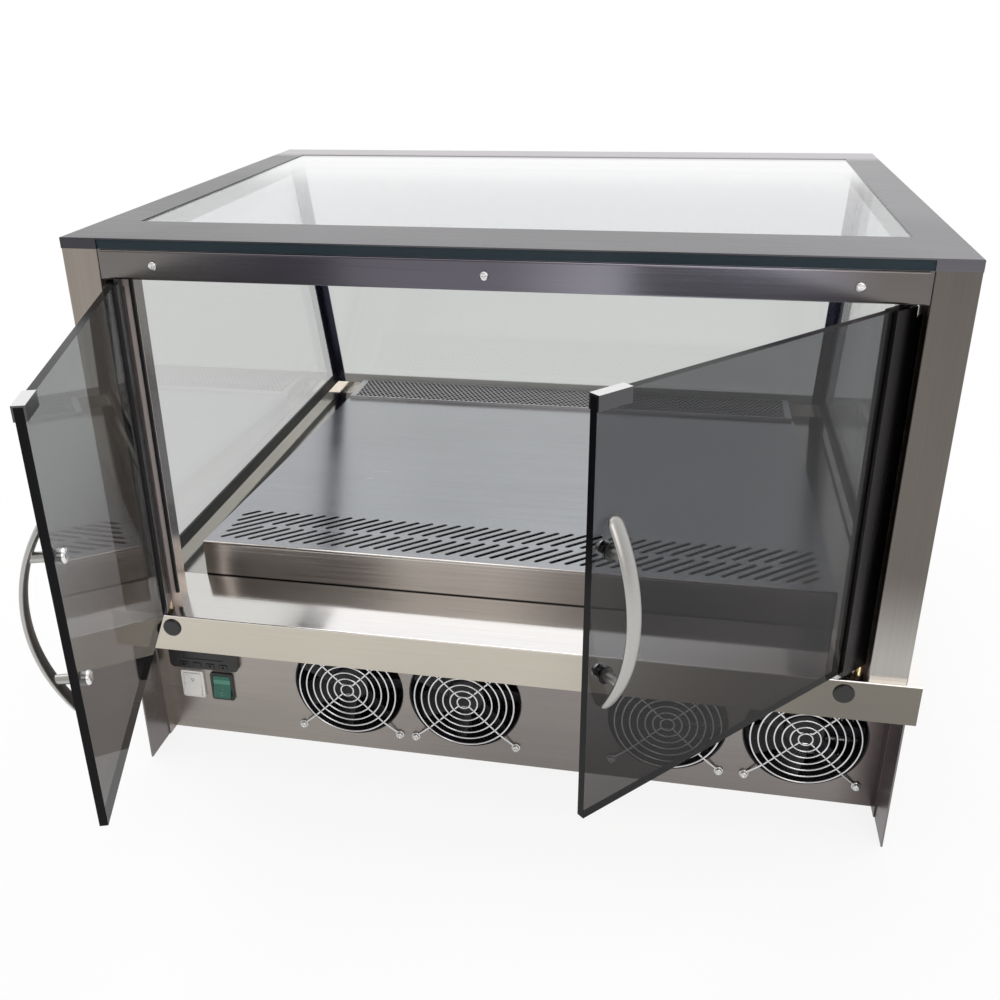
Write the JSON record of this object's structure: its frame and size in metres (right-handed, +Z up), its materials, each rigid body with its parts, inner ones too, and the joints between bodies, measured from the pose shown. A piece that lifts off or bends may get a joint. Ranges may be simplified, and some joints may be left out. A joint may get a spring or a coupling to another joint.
{
  "type": "refrigerated countertop display cabinet",
  "caption": "Countertop glass display cabinet with tinted glass doors, slotted steel deck over a cooled well, axial fans, thermostat and rocker switches.",
  "frame": {"origin": "centre of the base's footprint, on the underside of the base pan", "axes": "+X to the right seen from the doors, +Y from the doors to the customer side, +Z up"},
  "size_m": [0.736, 0.9458, 0.547],
  "materials": {
    "sheet_steel": "fine straight brushed stainless sheet",
    "post_steel": "brushed stainless, warm from its surroundings",
    "mirror_steel": "bright polished stainless",
    "deck_steel": "brushed stainless, slightly glossy",
    "clear_glass": "clear float glass with a dark green edge",
    "smoked_glass": "grey tinted toughened glass",
    "satin_steel": "satin tube",
    "stile_metal": "dark anodised",
    "chrome": "bright plated",
    "pivot_metal": "turned brass and nickel",
    "black_rubber": "soft black extrusion",
    "black_plastic": "fine textured black",
    "gloss_black": "smooth black moulding",
    "white_plastic": "translucent white",
    "green_plastic": "translucent green",
    "light_strip": "frosted white diffuser",
    "fin_aluminium": "mill finish fins",
    "copper": "drawn copper tube",
    "foam": "closed-cell foam",
    "compressor_paint": "black enamel"
  },
  "bodies": {
    "cabinet": {"top_frame": "sheet_steel", "top_glass": "clear_glass", "header_channel": "sheet_steel", "header_cover": "sheet_steel", "panhead_screws": "chrome", "front_post_left": "post_steel", "front_post_right": "post_steel", "rear_post_left": "sheet_steel", "rear_post_right": "sheet_steel", "side_glass_left": "clear_glass", "side_glass_right": "clear_glass", "rear_glass": "clear_glass", "glass_base_rails": "black_rubber", "door_jamb_left": "sheet_steel", "door_jamb_right": "sheet_steel", "door_gaskets": "black_rubber", "ledge_plate": "mirror_steel", "ledge_plugs": "black_plastic", "well_tub": "mirror_steel", "well_insulation": "foam", "slotted_deck": "deck_steel", "rear_grille": "sheet_steel", "lower_front_panel": "post_steel", "side_skirt_left": "sheet_steel", "side_skirt_right": "sheet_steel", "rear_panel": "sheet_steel", "base_pan": "sheet_steel", "fan_frames": "black_plastic", "fan_guards": "chrome", "controller": "gloss_black", "light_switch_frame": "white_plastic", "power_switch_frame": "black_plastic", "door_pivot_pins": "pivot_metal", "door_magnets": "black_plastic", "light_bar": "light_strip", "evaporator_coil": "fin_aluminium", "condenser_coil": "fin_aluminium", "compressor": "compressor_paint", "refrigerant_pipes": "copper", "power_inlet": "black_plastic"},
    "left_door": {"left_door_glass": "smoked_glass", "left_door_stile": "stile_metal", "left_door_clip": "chrome", "left_door_handle": "satin_steel", "left_handle_fixings": "chrome"},
    "right_door": {"right_door_glass": "smoked_glass", "right_door_stile": "stile_metal", "right_door_clip": "chrome", "right_door_handle": "satin_steel", "right_handle_fixings": "chrome"},
    "fan_1": {"fan_impeller_1": "black_plastic"},
    "fan_2": {"fan_impeller_2": "black_plastic"},
    "fan_3": {"fan_impeller_3": "black_plastic"},
    "fan_4": {"fan_impeller_4": "black_plastic"},
    "key_set": {"controller_key_set": "gloss_black"},
    "key_aux": {"controller_key_aux": "gloss_black"},
    "key_down": {"controller_key_down": "gloss_black"},
    "key_up": {"controller_key_up": "gloss_black"},
    "light_switch": {"light_rocker": "white_plastic"},
    "power_switch": {"power_rocker": "green_plastic"}
  },
  "joints": [
    {"name": "left_door_hinge", "type": "hinge", "parent": "cabinet", "child": "left_door", "pos_m": [-0.319, -0.3125, 0.356], "axis": [0, 0, 1], "range_deg": [-18.3, 71.7]},
    {"name": "right_door_hinge", "type": "hinge", "parent": "cabinet", "child": "right_door", "pos_m": [0.319, -0.3125, 0.356], "axis": [0, 0, 1], "range_deg": [-47.2, 42.8]},
    {"name": "fan_1_spin", "type": "hinge", "parent": "cabinet", "child": "fan_1", "pos_m": [-0.16, -0.245, 0.0753], "axis": [0, 1, 0], "continuous": true},
    {"name": "fan_2_spin", "type": "hinge", "parent": "cabinet", "child": "fan_2", "pos_m": [-0.038, -0.245, 0.0753], "axis": [0, 1, 0], "continuous": true},
    {"name": "fan_3_spin", "type": "hinge", "parent": "cabinet", "child": "fan_3", "pos_m": [0.1635, -0.245, 0.0753], "axis": [0, 1, 0], "continuous": true},
    {"name": "fan_4_spin", "type": "hinge", "parent": "cabinet", "child": "fan_4", "pos_m": [0.2925, -0.245, 0.0753], "axis": [0, 1, 0], "continuous": true},
    {"name": "key_set_press", "type": "slide", "parent": "cabinet", "child": "key_set", "axis": [0, 1, 0], "range_m": [0, 0.001], "stiffness_N_per_m": 800, "springref_m": -0.0005},
    {"name": "key_aux_press", "type": "slide", "parent": "cabinet", "child": "key_aux", "axis": [0, 1, 0], "range_m": [0, 0.001], "stiffness_N_per_m": 800, "springref_m": -0.0005},
    {"name": "key_down_press", "type": "slide", "parent": "cabinet", "child": "key_down", "axis": [0, 1, 0], "range_m": [0, 0.001], "stiffness_N_per_m": 800, "springref_m": -0.0005},
    {"name": "key_up_press", "type": "slide", "parent": "cabinet", "child": "key_up", "axis": [0, 1, 0], "range_m": [0, 0.001], "stiffness_N_per_m": 800, "springref_m": -0.0005},
    {"name": "light_rocker_tilt", "type": "hinge", "parent": "cabinet", "child": "light_switch", "pos_m": [-0.3335, -0.2584, 0.0596], "axis": [1, 0, 0], "range_deg": [0, 14]},
    {"name": "power_rocker_tilt", "type": "hinge", "parent": "cabinet", "child": "power_switch", "pos_m": [-0.3005, -0.2584, 0.0596], "axis": [1, 0, 0], "range_deg": [0, 14]}
  ]
}
